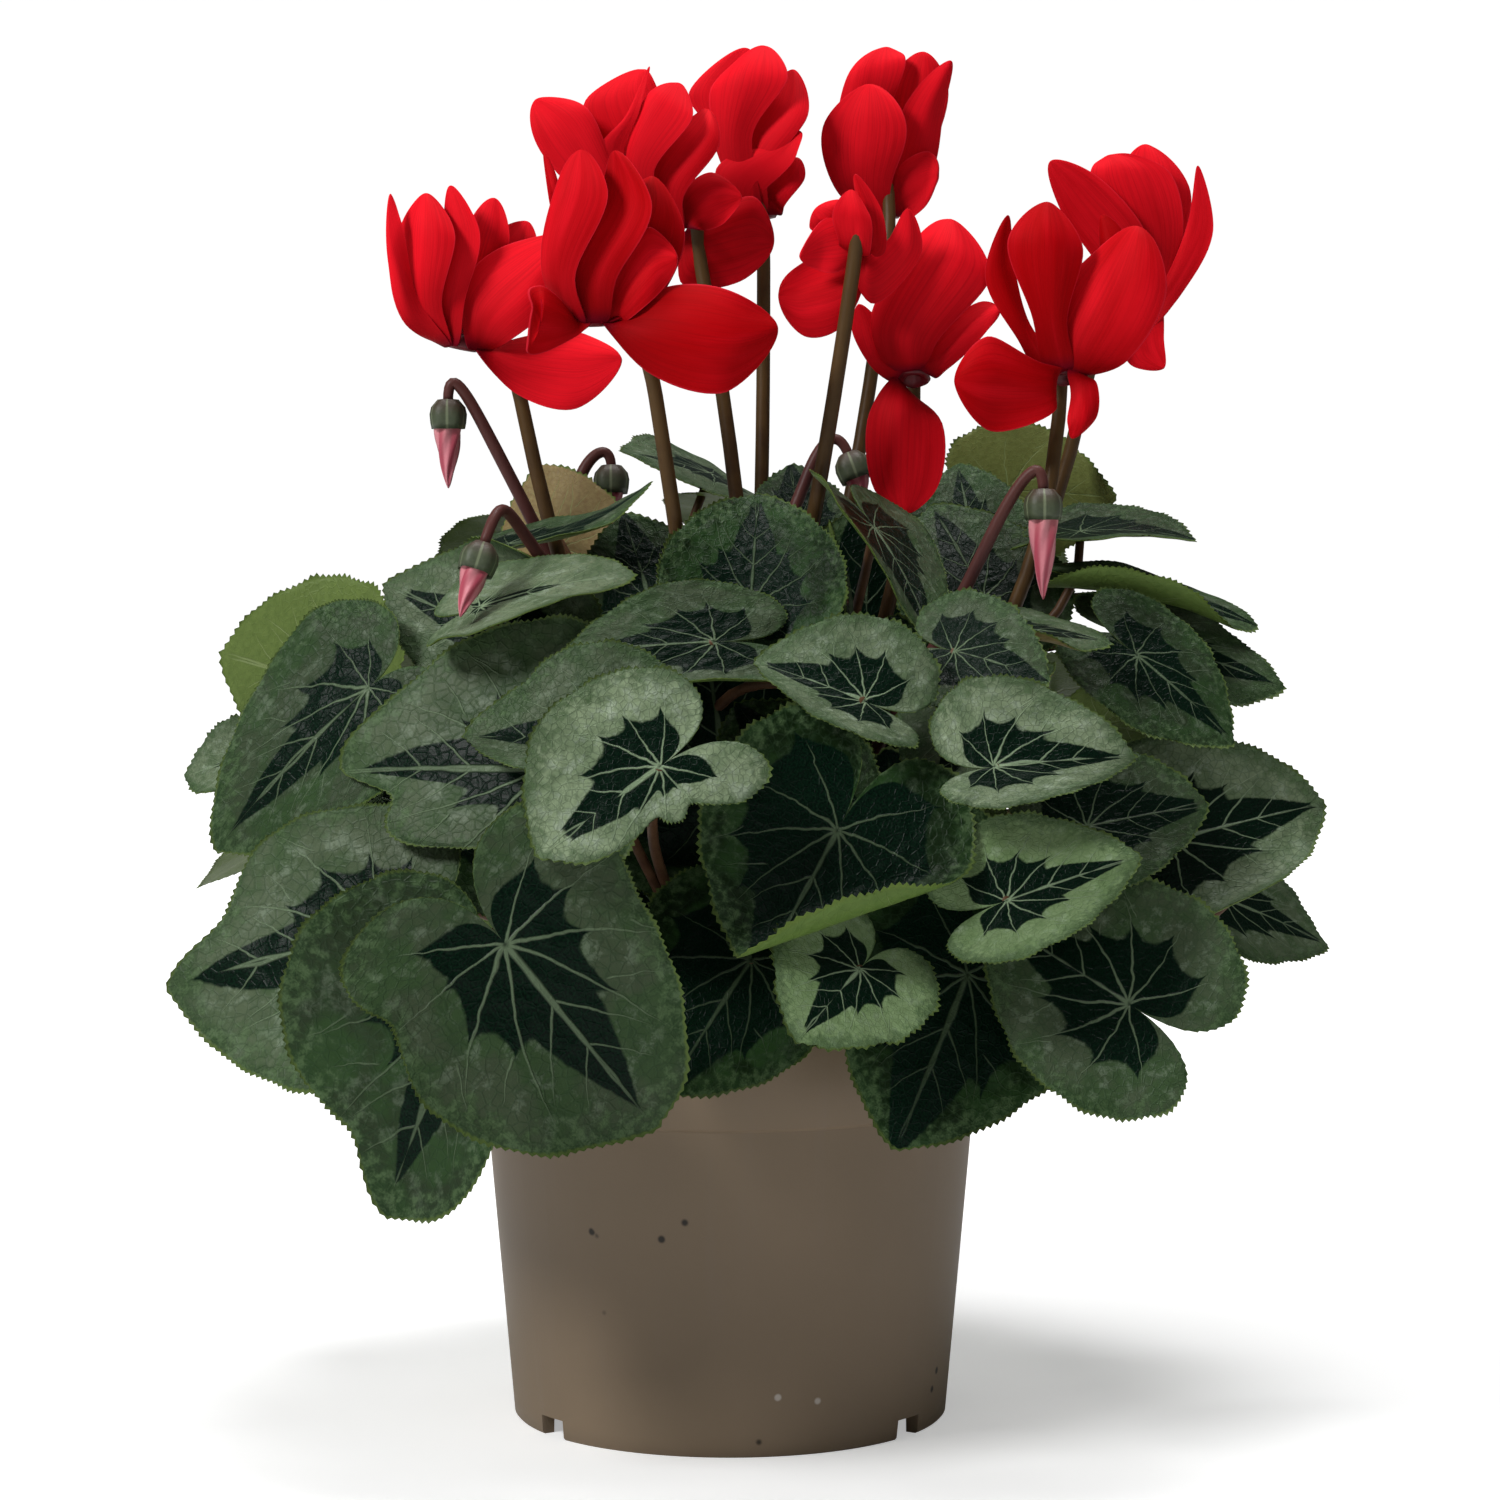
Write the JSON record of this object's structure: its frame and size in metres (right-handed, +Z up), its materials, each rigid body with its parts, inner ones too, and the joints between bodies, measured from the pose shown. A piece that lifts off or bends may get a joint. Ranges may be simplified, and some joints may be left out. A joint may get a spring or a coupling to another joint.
{
  "type": "potted cyclamen",
  "caption": "Flowering house plant in a round nursery pot: a dome of heart-shaped silver-marked leaves under red swept-back blooms and drooping buds on hooked stems.",
  "frame": {"origin": "under the middle of the whole plant's box, on the plane that its pot stands on; the pot's axis is a few millimetres to the left of it and in front of it", "axes": "+Z up, -Y towards the viewer of the picture, +X to that viewer's right"},
  "size_m": [0.2922, 0.2804, 0.3587],
  "materials": {
    "pot": "matte taupe, lightly specked",
    "peat": "matt, crumbly",
    "corm": "matt, corky",
    "stem": "satin, brown to olive",
    "leaf": "satin, silver marbling on green",
    "petal": "soft satin red",
    "bud": "soft satin pink"
  },
  "bodies": {
    "root": {"bloom_1_petals": "petal", "bloom_1_stem": "stem", "bloom_2_petals": "petal", "bloom_2_stem": "stem", "bloom_3_petals": "petal", "bloom_3_stem": "stem", "bloom_4_petals": "petal", "bloom_4_stem": "stem", "bloom_5_petals": "petal", "bloom_5_stem": "stem", "bloom_6_petals": "petal", "bloom_6_stem": "stem", "bloom_7_petals": "petal", "bloom_7_stem": "stem", "bloom_8_petals": "petal", "bloom_8_stem": "stem", "bloom_9_petals": "petal", "bloom_9_stem": "stem", "bud_1_petals": "bud", "bud_1_stem": "stem", "bud_2_petals": "bud", "bud_2_stem": "stem", "bud_3_petals": "bud", "bud_3_stem": "stem", "bud_4_petals": "bud", "bud_4_stem": "stem", "bud_5_petals": "bud", "bud_5_stem": "stem", "corm": "corm", "leaves_01": "leaf", "leaves_02": "leaf", "leaves_03": "leaf", "leaves_04": "leaf", "leaves_05": "leaf", "leaves_06": "leaf", "leaves_07": "leaf", "leaves_08": "leaf", "leaves_09": "leaf", "leaves_10": "leaf", "leaves_11": "leaf", "leaves_12": "leaf", "leaves_13": "leaf", "leaves_14": "leaf", "leaves_15": "leaf", "leaves_16": "leaf", "leaves_17": "leaf", "leaves_18": "leaf", "leaves_19": "leaf", "leaves_20": "leaf", "leaves_21": "leaf", "leaves_22": "leaf", "leaves_23": "leaf", "leaves_24": "leaf", "leaves_25": "leaf", "leaves_26": "leaf", "pot": "pot", "soil": "peat"}
  },
  "joints": []
}
